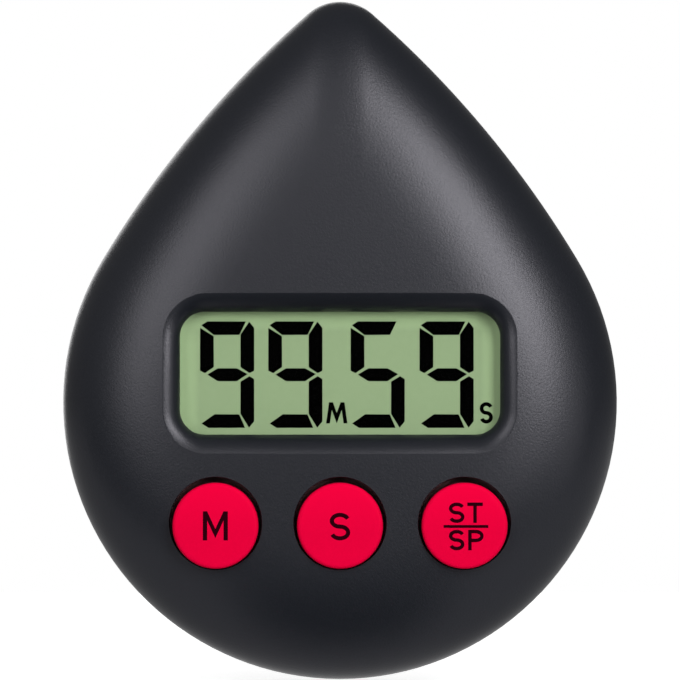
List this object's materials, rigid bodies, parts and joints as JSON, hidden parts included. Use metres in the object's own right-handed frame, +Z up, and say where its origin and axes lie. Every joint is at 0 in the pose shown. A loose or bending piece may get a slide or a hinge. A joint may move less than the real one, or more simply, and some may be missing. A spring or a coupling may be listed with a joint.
{
  "type": "digital shower timer",
  "caption": "Drop-shaped wall timer for a shower: digital display in a recessed bezel, round red push buttons below it, held on tiles by a suction cup",
  "frame": {"origin": "centre of the suction cup's rim, on the wall plane", "axes": "+Z up, from the round lobe to the tip; +Y into the wall, so the display faces -Y; +X to the right seen from the front"},
  "size_m": [0.0738, 0.0301, 0.0905],
  "materials": {
    "case_plastic": "satin textured black",
    "rear_plastic": "fine-textured black",
    "button_plastic": "satin red",
    "clear_lens": "clear polished",
    "display_glass": "grey-green reflective display",
    "reflector_film": "pearl film",
    "board": "green solder mask",
    "black_rubber": "matt black",
    "zebra_rubber": "striped silicone",
    "foam": "grey foam",
    "grey_silicone": "matt grey",
    "carbon": "matt carbon",
    "potting": "black epoxy",
    "screw_steel": "zinc plated",
    "nickel": "nickel plated",
    "cell_steel": "stainless can",
    "sounder_brass": "rolled brass",
    "ceramic": "silvered ceramic",
    "capacitor_ceramic": "ceramic chip",
    "lead_black": "wire insulation",
    "lead_red": "wire insulation",
    "clear_vinyl": "clear soft vinyl"
  },
  "bodies": {
    "case": {"front_case": "case_plastic", "rear_cover": "rear_plastic", "case_gasket": "black_rubber", "case_screw_top": "screw_steel", "case_screw_left": "screw_steel", "case_screw_right": "screw_steel", "case_screw_bottom": "screw_steel", "display_lens": "clear_lens", "lcd_cell": "display_glass", "lcd_reflector": "reflector_film", "zebra_connector": "zebra_rubber", "lcd_support_pad": "foam", "circuit_board": "board", "board_screw_upper_left": "screw_steel", "board_screw_upper_right": "screw_steel", "board_screw_lower_left": "screw_steel", "board_screw_lower_right": "screw_steel", "chip_blob": "potting", "quartz_crystal": "nickel", "chip_capacitor_1": "capacitor_ceramic", "chip_capacitor_2": "capacitor_ceramic", "dome_minutes": "grey_silicone", "dome_seconds": "grey_silicone", "dome_start_stop": "grey_silicone", "sounder_plate": "sounder_brass", "sounder_ceramic": "ceramic", "sounder_lead_plate": "lead_black", "sounder_lead_ceramic": "lead_red", "battery_cell": "cell_steel", "battery_contact_positive": "nickel", "battery_contact_negative": "nickel"},
    "minutes_key": {"button_minutes": "button_plastic", "contact_pill_minutes": "carbon"},
    "seconds_key": {"button_seconds": "button_plastic", "contact_pill_seconds": "carbon"},
    "start_stop_key": {"button_start_stop": "button_plastic", "contact_pill_start_stop": "carbon"},
    "battery_lid": {"battery_door": "rear_plastic", "battery_door_seal": "black_rubber"},
    "cup": {"suction_cup": "clear_vinyl"}
  },
  "joints": [
    {"name": "minutes_press", "type": "slide", "parent": "case", "child": "minutes_key", "axis": [0, 1, 0], "range_m": [0, 0.001], "stiffness_N_per_m": 1500, "deforming": ["dome_minutes"]},
    {"name": "seconds_press", "type": "slide", "parent": "case", "child": "seconds_key", "axis": [0, 1, 0], "range_m": [0, 0.001], "stiffness_N_per_m": 1500, "deforming": ["dome_seconds"]},
    {"name": "start_stop_press", "type": "slide", "parent": "case", "child": "start_stop_key", "axis": [0, 1, 0], "range_m": [0, 0.001], "stiffness_N_per_m": 1500, "deforming": ["dome_start_stop"]},
    {"name": "battery_door_turn", "type": "hinge", "parent": "case", "child": "battery_lid", "pos_m": [0, -0.0075, -0.029], "axis": [0, 1, 0], "range_deg": [0, 60]},
    {"name": "cup_swivel", "type": "hinge", "parent": "case", "child": "cup", "pos_m": [0, 0, 0], "axis": [0, 1, 0], "continuous": true}
  ]
}
